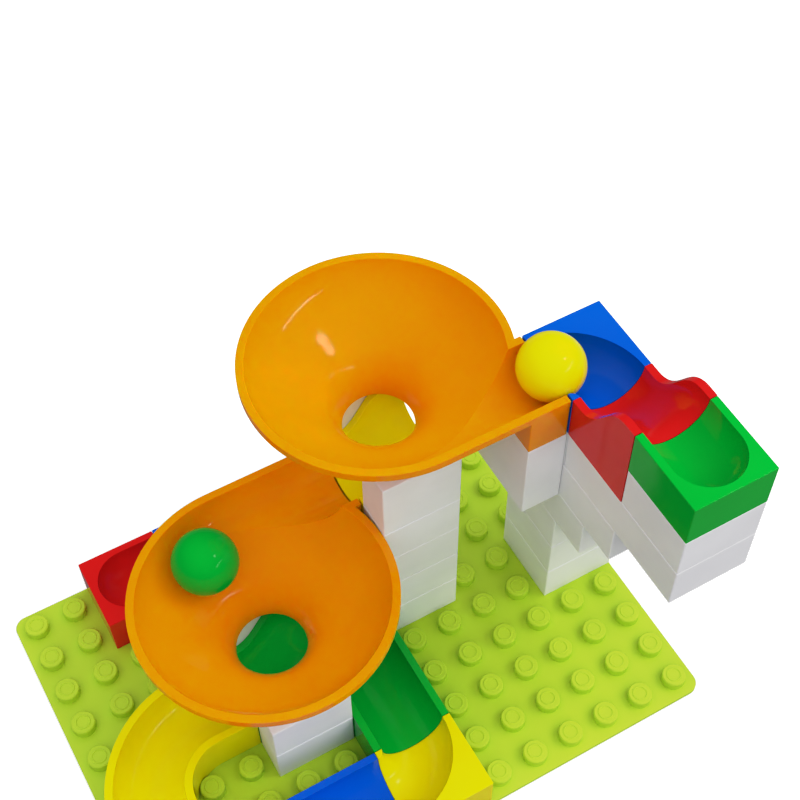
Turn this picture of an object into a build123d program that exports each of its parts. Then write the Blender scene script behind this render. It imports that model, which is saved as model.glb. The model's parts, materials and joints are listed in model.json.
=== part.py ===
"""Marble run: two funnels, slopes, bends and bowls of track held up by hollow studded bricks.

Millimetres, +Z up. X runs along the baseplate's long side, Y away from its front edge.
The origin is the centre of the baseplate's underside.
"""
import os
from math import hypot, sqrt

from build123d import *

# the grid every piece clips to
pitch = 16.0
unit = 19.2
play = 0.1
stud_d = 9.4
stud_h = 4.0
stud_bevel = 0.4

# baseplate
plate_nx = 14
plate_ny = 10
plate_t = 2.0
plate_corner = 5.0
plate_bevel = 0.4
recess_d = 6.4
recess_h = 3.0

# bricks
wall = 3.1
roof = 2.4
edge = 0.5
tube_r = 6.5
tube_bore = 4.9
pin_r = 3.2

# marbles and the track they roll in
marble_r = 12.25
marble_gap = 0.4
channel_r = 13.0
skin = 2.0
lane = 2 * pitch
stud_room = 0.1
small_bend_r = pitch
large_bend_r = 2 * pitch
track_edge = 0.3

# slope: height of its wall top and of its floor, from the low end to the high end
slope_rise = unit
wall_flat = 4.0
floor_flat = 1.0
slope_sections = 11
curve_pull = 0.5

# funnel, in radius and depth below the rim
rim_r = 48.0
rim_w = 3.0
lip_h = 3.2
bowl_wall = 2.2
trough_wall = 1.6
throat_depth = 2 * unit - 0.3
inlet_gap = 0.6
bowl_line = (
    (rim_r - rim_w, 0.0),
    (43.8, 3.4),
    (40.9, 7.8),
    (36.0, 12.6),
    (30.0, 17.0),
    (24.0, 20.8),
    (19.0, 25.0),
    (15.5, 30.0),
    (13.7, 34.5),
    (13.2, throat_depth),
)
seat_gap = 0.2
prop_h = 1.5 * unit

# where the two marbles rest, in grid steps from the baseplate's near left corner
yellow_marble_x = 12.106
yellow_marble_y = 4.984
yellow_marble_level = 6
green_orbit_x = 4.291
green_orbit_y = 6.527
funnel_upper = (9, 7, 7)
funnel_lower = (5, 5, 4)

LOW = (Align.CENTER, Align.CENTER, Align.MIN)
FLAT_CORNER = (Align.MIN, Align.MIN)


def at(ix, iy, level=0):
    """Placement of a grid corner, counted in studs and brick heights from the plate top."""
    x = (ix - plate_nx / 2) * pitch
    y = (iy - plate_ny / 2) * pitch
    return Pos(x, y, plate_t + level * unit)


def turned(shape, steps, nx=2, ny=2):
    """The shape turned by quarter turns about the middle of its own footprint."""
    cx = nx * pitch / 2
    cy = ny * pitch / 2
    return Pos(cx, cy, 0) * Rot(0, 0, 90 * steps) * Pos(-cx, -cy, 0) * shape


def stud():
    body = Cylinder(stud_d / 2, stud_h, align=LOW)
    return chamfer(body.edges().sort_by(Axis.Z)[-1], stud_bevel)


def grips(nx, ny, height):
    """Tubes between four studs, or pins between two, inside a brick or a track block."""
    pieces = []
    if nx > 1 and ny > 1:
        tube = Cylinder(tube_r, height, align=LOW) - Cylinder(tube_bore, height, align=LOW)
        for i in range(1, nx):
            for j in range(1, ny):
                pieces.append(Pos(i * pitch, j * pitch, 0) * tube)
        return pieces
    pin = Cylinder(pin_r, height, align=LOW)
    for k in range(1, max(nx, ny)):
        x = k * pitch if nx > ny else pitch / 2
        y = k * pitch if ny > nx else pitch / 2
        pieces.append(Pos(x, y, 0) * pin)
    return pieces


def block(nx, ny, height, rounding):
    body = Box(nx * pitch - 2 * play, ny * pitch - 2 * play, height, align=LOW)
    return Pos(nx * pitch / 2, ny * pitch / 2, 0) * fillet(body.edges(), rounding)


def hollow(nx, ny, height):
    body = Box(nx * pitch - 2 * wall, ny * pitch - 2 * wall, height, align=LOW)
    return Pos(nx * pitch / 2, ny * pitch / 2, 0) * body


def brick(nx, ny, height=unit, studs=True):
    """A hollow brick, open below, with studs on its roof."""
    inside = height - roof
    body = block(nx, ny, height, edge) - hollow(nx, ny, inside) + grips(nx, ny, inside)
    if studs:
        top = stud()
        for i in range(nx):
            for j in range(ny):
                body += Pos((i + 0.5) * pitch, (j + 0.5) * pitch, height) * top
    return body


def baseplate():
    """Thin plate with a stud on every grid square, each stud hollow from below."""
    sheet = Box(plate_nx * pitch, plate_ny * pitch, plate_t, align=LOW)
    sheet = fillet(sheet.edges().filter_by(Axis.Z), plate_corner)
    sheet = chamfer(sheet.faces().sort_by(Axis.Z)[-1].edges(), plate_bevel)
    grid = GridLocations(pitch, pitch, plate_nx, plate_ny)
    recess = Cylinder(recess_d / 2, recess_h, align=LOW)
    top = stud()
    studs = [place * Pos(0, 0, plate_t) * top for place in grid]
    recesses = [place * recess for place in grid]
    return sheet + studs - recesses


def lane_y(radius, y0, y1, x=lane / 2, z=unit):
    """Round bar along Y: the space a marble rolls through, or the skin around it."""
    return Pos(x, (y0 + y1) / 2, z) * Rot(90, 0, 0) * Cylinder(radius, y1 - y0)


def track_block(nx, ny, space, shell, outer=None, rise=unit):
    """A track piece: block walls and roof, hollow below, with the marble's space cut out."""
    outer = outer or block(nx, ny, rise, track_edge)
    tubes = grips(nx, ny, rise)
    return outer - (hollow(nx, ny, rise - roof) - tubes - shell) - space


def straight(ny):
    """Straight track along Y."""
    length = ny * pitch
    return track_block(2, ny, lane_y(channel_r, 0, length), lane_y(channel_r + skin, 0, length))


def corner():
    """Quarter bend from the -X face to the -Y face, about the near left corner."""
    space = Pos(0, 0, unit) * Torus(small_bend_r, channel_r)
    shell = Pos(0, 0, unit) * Torus(small_bend_r, channel_r + skin)
    return track_block(2, 2, space, shell)


def bowl_end():
    """End piece: the lane comes in from +Y and stops in a round bowl."""
    middle = pitch
    spaces = []
    for radius in (channel_r, channel_r + skin):
        ball = Pos(middle, middle, unit) * Sphere(radius)
        spaces.append(lane_y(radius, middle, lane) + ball)
    return track_block(2, 2, *spaces)


def s_height(y, flat, low, rise):
    """Height of a smooth step that is high at y = 0 and low at y = lane."""
    span = lane - 2 * flat
    t = min(max((lane - flat - y) / span, 0.0), 1.0)
    return low + rise * t * t * (3 - 2 * t)


def slide_space(radius):
    """The space above a slope's floor: a U that keeps upright while it follows the step."""
    sections = []
    top = 3 * unit
    for k in range(slope_sections):
        y = -pitch / 8 + k * (lane + pitch / 4) / (slope_sections - 1)
        centre = s_height(y, floor_flat, unit, slope_rise)
        with BuildSketch(Plane.XZ.offset(-y)) as u:
            with BuildLine():
                arc = ThreePointArc(
                    (lane / 2 - radius, centre), (lane / 2, centre - radius), (lane / 2 + radius, centre)
                )
                Polyline(arc @ 1, (lane / 2 + radius, top), (lane / 2 - radius, top), arc @ 0)
            make_face()
        sections.append(u.sketch.face())
    return loft(sections)


def slope():
    """Slide from a lane one brick up, at -Y, to a lane at the bottom, at +Y."""
    near = play
    far = lane - play
    with BuildSketch(Plane.YZ.offset(play)) as side:
        with BuildLine():
            step = Bezier(
                (lane - wall_flat, unit),
                (lane - wall_flat - curve_pull * (lane - 2 * wall_flat), unit),
                (wall_flat + curve_pull * (lane - 2 * wall_flat), unit + slope_rise),
                (wall_flat, unit + slope_rise),
            )
            Polyline(step @ 1, (near, unit + slope_rise), (near, 0), (far, 0), (far, unit), step @ 0)
        make_face()
    outer = extrude(side.sketch, lane - 2 * play)
    shell = slide_space(channel_r + skin)
    return track_block(2, 2, slide_space(channel_r), shell, outer, unit + slope_rise)


def quarter_lane(radius, bend_r):
    """Quarter of a ring from +Y round to -X about the Z axis."""
    ring = Plane.YZ * Pos(bend_r, 0) * Circle(radius)
    return revolve(ring, Axis.Z, 90)


def large_bend():
    """Bend over four by four studs: in from +X at the far side, out to -Y at the left."""
    cx = 3 * pitch
    cy = pitch
    inner = large_bend_r - lane / 2
    outer_r = large_bend_r + lane / 2

    def strip(inset):
        ring = Circle(outer_r - inset) - Circle(inner + inset)
        square = Pos(-outer_r, 0) * Rectangle(outer_r, outer_r, align=FLAT_CORNER)
        ends = Pos(0, inner + inset) * Rectangle(pitch - inset, lane - 2 * inset, align=FLAT_CORNER)
        foot = Rectangle(lane - 2 * inset, pitch - inset, align=FLAT_CORNER)
        foot = Pos(-outer_r + inset, inset - pitch) * foot
        return Pos(cx, cy) * ((ring & square) + ends + foot)

    def run(radius):
        bend = Pos(cx, cy, unit) * quarter_lane(radius, large_bend_r)
        along_x = Pos(cx + pitch / 2, cy + large_bend_r, unit) * Rot(0, 90, 0) * Cylinder(radius, pitch)
        return bend + along_x + lane_y(radius, 0, pitch)

    outer = extrude(strip(play), unit)
    inside = extrude(strip(wall), unit - roof)
    tube = Cylinder(tube_r, unit, align=LOW) - Cylinder(tube_bore, unit, align=LOW)
    tubes = [Pos(i * pitch, j * pitch, 0) * tube for i, j in ((1, 1), (1, 2), (2, 3), (3, 3))]
    body = outer - (inside - tubes - run(channel_r + skin)) - run(channel_r)
    room = Cylinder(stud_d / 2 + stud_room, stud_h + stud_room, align=LOW)
    rooms = []
    for i in range(4):
        for j in range(4):
            rooms.append(Pos((i + 0.5) * pitch, (j + 0.5) * pitch, 0) * room)
    return body - rooms


def offset_line(points, distance):
    """The line of points moved sideways, away from the funnel's axis and down."""
    moved = []
    last = len(points) - 1
    for k, (r, d) in enumerate(points):
        r0, d0 = points[max(k - 1, 0)]
        r1, d1 = points[min(k + 1, last)]
        length = hypot(r1 - r0, d1 - d0)
        moved.append((r + distance * (d1 - d0) / length, d - distance * (r1 - r0) / length))
    moved[-1] = (points[-1][0] + distance, points[-1][1])
    return moved


def bowl_solid(line, top=0.0, tail=0.0):
    """Solid of revolution inside a bowl line, up to the top and straight down for the tail."""
    points = [(r, -d) for r, d in line]
    r_end, z_end = points[-1]
    corners = [(0, z_end - tail), (0, top), (points[0][0], top)]
    if tail:
        corners.insert(0, (r_end, z_end - tail))
    with BuildSketch(Plane.XZ) as half:
        with BuildLine():
            curve = Spline(*points)
            Polyline(curve @ 1, *corners, curve @ 0)
        make_face()
    return revolve(half.sketch, Axis.Z)


def funnel_outside(clearance=0.0):
    """The funnel's bowl and throat from outside, as a solid."""
    return bowl_solid(offset_line(bowl_line, bowl_wall + clearance))


def funnel():
    """Bowl with a throat, and a lane that joins its rim at a tangent on the -Y side."""
    lane_c = -rim_r + lane / 2
    reach = rim_r - inlet_gap
    stand_l = pitch - play - inlet_gap
    inner = bowl_solid(bowl_line, unit, unit)
    rim = Pos(0, 0, -lip_h) * Cylinder(rim_r - play, lip_h, align=LOW)
    lip = Pos(reach / 2, lane_c, -lip_h) * Box(reach, lane - 2 * play, lip_h, align=LOW)

    def lane_from_tangent(radius, length):
        bar = Pos(length / 2, lane_c, 0) * Rot(0, 90, 0) * Cylinder(radius, length)
        return bar + Pos(0, lane_c, 0) * Sphere(radius)

    below = Pos(0, 0, -3 * unit) * Box(6 * rim_r, 6 * rim_r, 3 * unit, align=LOW)
    trough = lane_from_tangent(channel_r + trough_wall, reach) & below
    stand = fillet(Box(stand_l, lane - 2 * play, unit, align=LOW).edges(), track_edge)
    stand = Pos(reach - stand_l / 2, lane_c, -unit) * stand
    cavity = Box(pitch - 2 * wall, lane - 2 * wall, unit - roof, align=LOW)
    cavity = Pos(rim_r - pitch / 2, lane_c, -unit) * cavity
    outside = funnel_outside()
    stand -= cavity - outside - trough
    return outside + rim + lip + trough + stand - inner - lane_from_tangent(channel_r, 2 * rim_r)


def prop():
    """Support one and a half bricks high, its top cut to cradle a funnel on its far side."""
    body = brick(2, 1, prop_h, studs=False)
    seat = Pos(pitch, 2 * pitch, prop_h + 1.5 * unit) * funnel_outside(seat_gap)
    return body - seat


def resting_height(radius):
    """Height of a marble's centre above a funnel's rim when it clears the bowl by its gap."""
    best = None
    steps = 40
    for (r0, d0), (r1, d1) in zip(bowl_line, bowl_line[1:]):
        for k in range(steps + 1):
            t = k / steps
            run = abs(r0 + t * (r1 - r0) - radius)
            reach = marble_r + marble_gap
            if run < reach:
                height = sqrt(reach * reach - run * run) - (d0 + t * (d1 - d0))
                best = height if best is None else max(best, height)
    return best


def marble(x, y, z):
    return Pos(x, y, z) * Sphere(marble_r)


nodes = {"base_plate": at(plate_nx / 2, plate_ny / 2) * Pos(0, 0, -plate_t) * baseplate()}

# right-hand tower, its stepped arm towards the front, and the start of the run
nodes["tower_brick_1"] = at(12, 4, 0) * brick(2, 2)
nodes["tower_brick_2"] = at(12, 4, 1) * brick(2, 2)
nodes["tower_brick_3"] = at(12, 4, 2) * brick(2, 2)
nodes["arm_brick_1"] = at(12, 3, 3) * brick(2, 3)
nodes["arm_brick_2"] = at(12, 2, 4) * brick(2, 4)
nodes["arm_brick_3"] = at(12, 0, 5) * brick(2, 4)
nodes["tower_brick_4"] = at(12, 4, 5) * brick(2, 2)
nodes["start_brick"] = at(12, 0, 6) * brick(2, 2)
nodes["start_bowl"] = at(12, 0, 7) * bowl_end()
nodes["upper_slope"] = at(12, 2, 6) * slope()
nodes["upper_corner"] = at(12, 4, 6) * corner()
nodes["inlet_support"] = at(11, 4, 4) * brick(1, 2, 2 * unit)

# centre column, the slope below the upper funnel, and the funnel
for level in range(3):
    nodes[f"column_brick_{level + 1}"] = at(8, 5, level) * brick(2, 4)
nodes["column_brick_4"] = at(8, 5, 3) * brick(2, 1)
nodes["column_brick_5"] = at(8, 8, 3) * brick(2, 1)
nodes["upper_funnel_prop"] = at(8, 5, 4) * prop()
nodes["upper_funnel_rear_prop"] = at(8, 8, 4) * turned(prop(), 2, 2, 1)
nodes["middle_slope"] = at(8, 6, 3) * turned(slope(), 1)
nodes["upper_funnel"] = at(*funnel_upper) * funnel()

# lower funnel with its posts and the slope below it
nodes["front_post_brick_1"] = at(4, 3, 0) * brick(2, 1)
nodes["front_post_brick_2"] = at(4, 3, 1) * brick(2, 1)
nodes["rear_post_brick"] = at(4, 6, 0) * brick(2, 1)
nodes["lower_funnel_prop"] = at(4, 6, 1) * turned(prop(), 2, 2, 1)
nodes["lower_slope"] = at(4, 4, 0) * turned(slope(), 1)
nodes["lower_funnel"] = at(*funnel_lower) * mirror(funnel(), Plane.XZ)

# track on the baseplate, from the lower slope round to the finish
nodes["front_bend"] = at(0, 2, 0) * large_bend()
nodes["left_corner"] = at(0, 0, 0) * turned(corner(), 2)
nodes["front_straight"] = at(2, 0, 0) * turned(Pos(pitch, -pitch, 0) * straight(4), 1, 4, 2)
nodes["right_corner"] = at(6, 0, 0) * turned(corner(), 3)
nodes["side_straight"] = at(6, 2, 0) * straight(4)
nodes["rear_bend"] = at(4, 6, 0) * turned(large_bend(), 3, 4, 4)
nodes["finish_bowl"] = at(2, 8, 0) * turned(bowl_end(), 3)

# marbles
yellow_z = unit - channel_r + marble_gap + marble_r
nodes["yellow_marble"] = at(yellow_marble_x, yellow_marble_y, yellow_marble_level) * marble(0, 0, yellow_z)
orbit_r = pitch * hypot(green_orbit_x - funnel_lower[0], green_orbit_y - funnel_lower[1])
green_z = resting_height(orbit_r)
nodes["green_marble"] = at(green_orbit_x, green_orbit_y, funnel_lower[2]) * marble(0, 0, green_z)

os.makedirs("parts", exist_ok=True)
for name, shape in nodes.items():
    export_step(shape, f"parts/{name}.step")
    box = shape.bounding_box()
    print(name, len(shape.solids()), round(shape.volume), [round(v, 2) for v in (*box.min, *box.max)])
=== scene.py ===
import json
import math

import bmesh
import bpy
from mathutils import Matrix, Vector
from mathutils.bvhtree import BVHTree


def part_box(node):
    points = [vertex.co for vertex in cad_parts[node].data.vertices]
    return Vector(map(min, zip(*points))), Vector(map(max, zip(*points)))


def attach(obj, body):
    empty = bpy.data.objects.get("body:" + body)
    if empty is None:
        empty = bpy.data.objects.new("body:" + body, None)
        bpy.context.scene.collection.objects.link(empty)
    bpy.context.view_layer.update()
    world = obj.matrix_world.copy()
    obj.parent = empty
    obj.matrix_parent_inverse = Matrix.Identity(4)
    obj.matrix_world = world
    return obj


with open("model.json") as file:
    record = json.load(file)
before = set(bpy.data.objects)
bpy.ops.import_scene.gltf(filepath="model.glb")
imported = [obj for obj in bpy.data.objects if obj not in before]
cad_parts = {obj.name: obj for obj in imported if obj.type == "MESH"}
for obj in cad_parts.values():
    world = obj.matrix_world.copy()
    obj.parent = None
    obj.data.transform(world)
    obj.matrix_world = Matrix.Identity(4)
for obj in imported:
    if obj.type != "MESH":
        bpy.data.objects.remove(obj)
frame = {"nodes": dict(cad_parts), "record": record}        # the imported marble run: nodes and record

MM = 0.001

# the baseplate's grid, the height of its studs' tops and the free room looked for above one
PITCH = 16 * MM
STUD_TOP = 6 * MM
STUD_ROOM = 12 * MM

# moulded ring on a stud's top: middle radius, half its foot's width, height, sink and segments
RING_R = 2.7 * MM
RING_W = 0.4 * MM
RING_H = 0.25 * MM
RING_SINK = 0.01 * MM
RING_SEGMENTS = 40

# middle of a noise's values, which is stretched to the range that is asked for
NOISE_LOW = 0.35
NOISE_HIGH = 0.65

# moulded plastic: how far its colour and gloss stray, with the features of each pattern per mm
CLOUD_SHARE = (0.965, 1.035)
CLOUD_PER_MM = 0.035
GLOSS_SHARE = (0.9, 1.2)
GLOSS_PER_MM = 0.08
SINK_DEPTH = 0.25 * MM
SINK_PER_MM = 0.06
SPECULAR = 0.22
SCATTER = 0.8

# camera
TARGET = Vector((52.6, 40.8, 60.0)) * MM
DISTANCE = 577.3 * MM
AZIMUTH = math.radians(29.78)
ELEVATION = math.radians(55.34)
LENS_MM = 66.95
SHIFT_X = -0.0202
SHIFT_Y = 0.0539
NEAR = 0.01
FAR = 20.0

# sky: brightness at the horizon and overhead, its extra share towards one side, and then what
# gloss sees of it below and above the horizon and how gradually that changes
SKY_RIM = 0.38
SKY_TOP = 1.5
SKY_LEAN = (0.16, -0.34, 0)
SHINE_BELOW = 0.2
SHINE_ABOVE = 0.03
SHINE_BLEND = 0.1

# floor: size in metres, depth under the object, and the look of its paper
FLOOR_SIZE = 6.0
FLOOR_DROP = 0.2 * MM
FLOOR_GREY = 0.93
FLOOR_SHARE = (0.985, 1.0)
FLOOR_PER_MM = 0.02
FLOOR_ROUGHNESS = 0.9
FLOOR_GLOW = 0.6

# soft boxes: direction from the object, width and height in metres, power in watts
LAMP_DISTANCE = 2.5
KEY = ((0.6, -0.32, 0.74), 1.3, 1.3, 14.5)
GLEAM = ((0.46, -0.4, 0.8), 0.28, 0.28, 2.2)
LOW_GLEAM = ((0.55, -0.7, 0.45), 1.9, 0.06, 5)

# tone curve: scene light against shown light, from black to the first clean white
TONE_WHITE = 1.2
TONES = ((0.1, 0.075), (0.35, 0.32), (0.7, 0.66), (0.85, 0.73), (1.1, 0.8))

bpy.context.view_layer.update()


# ---------------------------------------------------------------- materials

class Nodes:
    """A material's node tree with short calls to add and join nodes."""

    def __init__(self, name):
        self.material = bpy.data.materials.new(name)
        self.material.use_nodes = True
        self.tree = self.material.node_tree
        self.shader = self.tree.nodes["Principled BSDF"]
        self.coord = self.add("ShaderNodeTexCoord").outputs["Object"]

    def add(self, kind, **inputs):
        """A new node with those inputs set; an underscore stands for a space in an input's name."""
        node = self.tree.nodes.new(kind)
        for key, value in inputs.items():
            node.inputs[key.replace("_", " ")].default_value = value
        return node

    def join(self, output, target):
        self.tree.links.new(output, target)

    def noise(self, per_mm, detail=3.0):
        """Noise with about that many features to the millimetre."""
        node = self.add("ShaderNodeTexNoise", Scale=per_mm / MM, Detail=detail)
        self.join(self.coord, node.inputs["Vector"])
        return node.outputs["Fac"]

    def spread(self, value, low, high):
        """Stretches a noise value to the range from low to high."""
        node = self.add("ShaderNodeMapRange")
        node.inputs["From Min"].default_value = NOISE_LOW
        node.inputs["From Max"].default_value = NOISE_HIGH
        node.inputs["To Min"].default_value = low
        node.inputs["To Max"].default_value = high
        self.join(value, node.inputs["Value"])
        return node.outputs["Result"]

    def shade(self, colour, share):
        """The colour scaled by a value."""
        node = self.tree.nodes.new("ShaderNodeMix")
        node.data_type = "RGBA"
        node.blend_type = "MULTIPLY"
        node.inputs["Factor"].default_value = 1.0
        node.inputs["A"].default_value = colour
        combine = self.add("ShaderNodeCombineColor")
        for channel in ("Red", "Green", "Blue"):
            self.join(share, combine.inputs[channel])
        self.join(combine.outputs["Color"], node.inputs["B"])
        return node.outputs["Result"]

    def bump(self, height, distance, strength):
        """The surface's normal, tipped by a value that stands for height."""
        node = self.add("ShaderNodeBump", Strength=strength, Distance=distance)
        self.join(height, node.inputs["Height"])
        return node.outputs["Normal"]


def moulded(name, colour, gloss, depth=(0.0, 0.0, 0.0), ripple=0.2):
    """Injection-moulded plastic: faint flow clouds, uneven gloss and a slow sink ripple.

    Depth is how many millimetres each colour of light travels inside the plastic.
    """
    nodes = Nodes(name)
    shader = nodes.shader.inputs
    clouds = nodes.spread(nodes.noise(CLOUD_PER_MM, detail=4), *CLOUD_SHARE)
    nodes.join(nodes.shade((*colour, 1), clouds), shader["Base Color"])
    uneven = nodes.spread(nodes.noise(GLOSS_PER_MM), *(gloss * share for share in GLOSS_SHARE))
    nodes.join(uneven, shader["Roughness"])
    nodes.join(nodes.bump(nodes.noise(SINK_PER_MM, detail=1), SINK_DEPTH, ripple), shader["Normal"])
    shader["Specular IOR Level"].default_value = SPECULAR
    if any(depth):
        shader["Subsurface Weight"].default_value = SCATTER
        shader["Subsurface Radius"].default_value = [d * MM for d in depth]
        shader["Subsurface Scale"].default_value = 1.0
    return nodes.material


PLASTICS = {
    "lime_plastic": dict(colour=(0.5, 0.71, 0.045), gloss=0.42),
    "white_plastic": dict(colour=(0.855, 0.85, 0.885), gloss=0.42, ripple=0.02),
    "orange_plastic": dict(colour=(0.86, 0.33, 0.0005), gloss=0.08, depth=(2.0, 0.3, 0.05)),
    "yellow_plastic": dict(colour=(0.87, 0.76, 0.001), gloss=0.1, depth=(1.0, 0.8, 0.05)),
    "red_plastic": dict(colour=(0.7, 0.014, 0.014), gloss=0.1),
    "green_plastic": dict(colour=(0.0008, 0.43, 0.045), gloss=0.1),
    "blue_plastic": dict(colour=(0.0005, 0.12, 0.66), gloss=0.12),
}
MATERIALS = {name: moulded(name, **look) for name, look in PLASTICS.items()}

slot_of = {s["node"]: s["material_slot"] for s in frame["record"]["subparts"]}
for node_name, node in frame["nodes"].items():
    node.data.materials.clear()
    node.data.materials.append(MATERIALS[slot_of[node_name]])


# ---------------------------------------------------------------- moulded rings on the free studs

def free_studs():
    """Centres of the baseplate's studs that no piece covers."""
    low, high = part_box("base_plate")
    covers = []
    for name, node in frame["nodes"].items():
        if name != "base_plate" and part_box(name)[0].z < STUD_TOP:
            covers.append(BVHTree.FromObject(node, bpy.context.evaluated_depsgraph_get()))
    centres = []
    for i in range(round((high.x - low.x) / PITCH)):
        for j in range(round((high.y - low.y) / PITCH)):
            centre = Vector((low.x + (i + 0.5) * PITCH, low.y + (j + 0.5) * PITCH, STUD_TOP))
            hits = [tree.ray_cast(centre, Vector((0, 0, 1)), STUD_ROOM)[0] for tree in covers]
            if not any(hits):
                centres.append(centre)
    return centres


def ring_on(mesh, centre):
    """Low ring with sloped sides, raised on a stud's top."""
    profile = (
        (-RING_W, -RING_SINK),
        (-RING_W / 2, RING_H),
        (RING_W / 2, RING_H),
        (RING_W, -RING_SINK),
    )
    loops = []
    for k in range(RING_SEGMENTS):
        angle = math.tau * k / RING_SEGMENTS
        out = Vector((math.cos(angle), math.sin(angle), 0))
        middle = centre + out * RING_R
        loops.append([mesh.verts.new(middle + out * r + Vector((0, 0, z))) for r, z in profile])
    for k in range(RING_SEGMENTS):
        a, b = loops[k], loops[(k + 1) % RING_SEGMENTS]
        for n in range(len(profile)):
            m = (n + 1) % len(profile)
            mesh.faces.new((a[n], b[n], b[m], a[m]))


def stud_rings():
    """One mesh of all the rings, which rides on the run."""
    mesh = bmesh.new()
    for centre in free_studs():
        ring_on(mesh, centre)
    bmesh.ops.recalc_face_normals(mesh, faces=mesh.faces)
    data = bpy.data.meshes.new("stud_rings")
    mesh.to_mesh(data)
    mesh.free()
    rings = bpy.data.objects.new("stud_rings", data)
    bpy.context.scene.collection.objects.link(rings)
    data.materials.append(MATERIALS["lime_plastic"])
    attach(rings, "run")


stud_rings()


# ---------------------------------------------------------------- floor, light and camera

def floor():
    """White paper that glows a little, so that it stays white, and that neither shows in the gloss
    nor lights the object."""
    bpy.ops.mesh.primitive_plane_add(size=FLOOR_SIZE, location=(0, 0, -FLOOR_DROP))
    plane = bpy.context.object
    plane.name = "floor"
    nodes = Nodes("floor_paper")
    shader = nodes.shader.inputs
    paper = nodes.spread(nodes.noise(FLOOR_PER_MM), *FLOOR_SHARE)
    nodes.join(nodes.shade((FLOOR_GREY, FLOOR_GREY, FLOOR_GREY, 1), paper), shader["Base Color"])
    shader["Roughness"].default_value = FLOOR_ROUGHNESS
    shader["Emission Color"].default_value = (1, 1, 1, 1)
    shader["Emission Strength"].default_value = FLOOR_GLOW
    shader["Specular IOR Level"].default_value = 0.0
    plane.data.materials.append(nodes.material)
    plane.visible_glossy = False
    plane.visible_diffuse = False


def sky():
    """White studio tent, brightest overhead. Gloss sees a much darker one, the camera plain white."""
    world = bpy.data.worlds.new("studio")
    bpy.context.scene.world = world
    world.use_nodes = True
    tree = world.node_tree
    coord = tree.nodes.new("ShaderNodeTexCoord")
    split = tree.nodes.new("ShaderNodeSeparateXYZ")
    tree.links.new(coord.outputs["Generated"], split.inputs["Vector"])
    path = tree.nodes.new("ShaderNodeLightPath")

    def height_ramp(low, high, start, end):
        """A value that goes from low to high between two heights of the sky."""
        ramp = tree.nodes.new("ShaderNodeMapRange")
        ramp.inputs["From Min"].default_value = start
        ramp.inputs["From Max"].default_value = end
        ramp.inputs["To Min"].default_value = low
        ramp.inputs["To Max"].default_value = high
        tree.links.new(split.outputs["Z"], ramp.inputs["Value"])
        return ramp.outputs["Result"]

    def lean(value):
        """Brightens the sky on one side and darkens it on the other."""
        side = tree.nodes.new("ShaderNodeVectorMath")
        side.operation = "DOT_PRODUCT"
        tree.links.new(coord.outputs["Generated"], side.inputs[0])
        side.inputs[1].default_value = SKY_LEAN
        share = tree.nodes.new("ShaderNodeMath")
        share.operation = "MULTIPLY_ADD"
        tree.links.new(side.outputs["Value"], share.inputs[0])
        for socket in (1, 2):
            tree.links.new(value, share.inputs[socket])
        return share.outputs["Value"]

    def choose(ray, other, value):
        """The value for that kind of ray, and the other one for the rest."""
        mix = tree.nodes.new("ShaderNodeMix")
        mix.data_type = "FLOAT"
        tree.links.new(path.outputs[ray], mix.inputs["Factor"])
        tree.links.new(other, mix.inputs["A"])
        if isinstance(value, float):
            mix.inputs["B"].default_value = value
        else:
            tree.links.new(value, mix.inputs["B"])
        return mix.outputs["Result"]

    light = lean(height_ramp(SKY_RIM, SKY_TOP, 0.0, 1.0))
    shine = height_ramp(SHINE_BELOW, SHINE_ABOVE, -SHINE_BLEND, SHINE_BLEND)
    level = choose("Is Camera Ray", choose("Is Glossy Ray", light, shine), TONE_WHITE)
    background = tree.nodes["Background"]
    background.inputs["Color"].default_value = (1, 1, 1, 1)
    tree.links.new(level, background.inputs["Strength"])


def lamp(name, direction, width, height, power, gleam=False):
    """Soft box that looks at the target from that direction. Gloss shows a gleam and no other lamp."""
    data = bpy.data.lights.new(name, "AREA")
    data.shape = "RECTANGLE"
    data.size = width
    data.size_y = height
    data.energy = power
    light = bpy.data.objects.new(name, data)
    bpy.context.scene.collection.objects.link(light)
    way = Vector(direction).normalized()
    light.location = TARGET + way * LAMP_DISTANCE
    light.rotation_mode = "QUATERNION"
    light.rotation_quaternion = way.to_track_quat("Z", "Y")
    light.visible_diffuse = not gleam
    light.visible_glossy = gleam


def camera():
    """Looks at the target from above its front left corner."""
    data = bpy.data.cameras.new("camera")
    data.lens = LENS_MM
    data.shift_x = SHIFT_X
    data.shift_y = SHIFT_Y
    data.clip_start = NEAR
    data.clip_end = FAR
    view = bpy.data.objects.new("camera", data)
    bpy.context.scene.collection.objects.link(view)
    back = Vector((
        -math.sin(AZIMUTH) * math.cos(ELEVATION),
        -math.cos(AZIMUTH) * math.cos(ELEVATION),
        math.sin(ELEVATION),
    ))
    view.location = TARGET + back * DISTANCE
    view.rotation_mode = "QUATERNION"
    view.rotation_quaternion = (-back).to_track_quat("-Z", "Y")
    bpy.context.scene.camera = view


def contrast():
    """Deeper shade and gently held highlights."""
    view = bpy.context.scene.view_settings
    view.view_transform = "Standard"
    view.use_curve_mapping = True
    mapping = view.curve_mapping
    mapping.white_level = (TONE_WHITE, TONE_WHITE, TONE_WHITE)
    curve = mapping.curves[3]
    for light, shown in TONES:
        curve.points.new(light / TONE_WHITE, shown)
    mapping.update()


floor()
sky()
lamp("key", *KEY)
lamp("gleam", *GLEAM, gleam=True)
lamp("low_gleam", *LOW_GLEAM, gleam=True)
camera()
contrast()
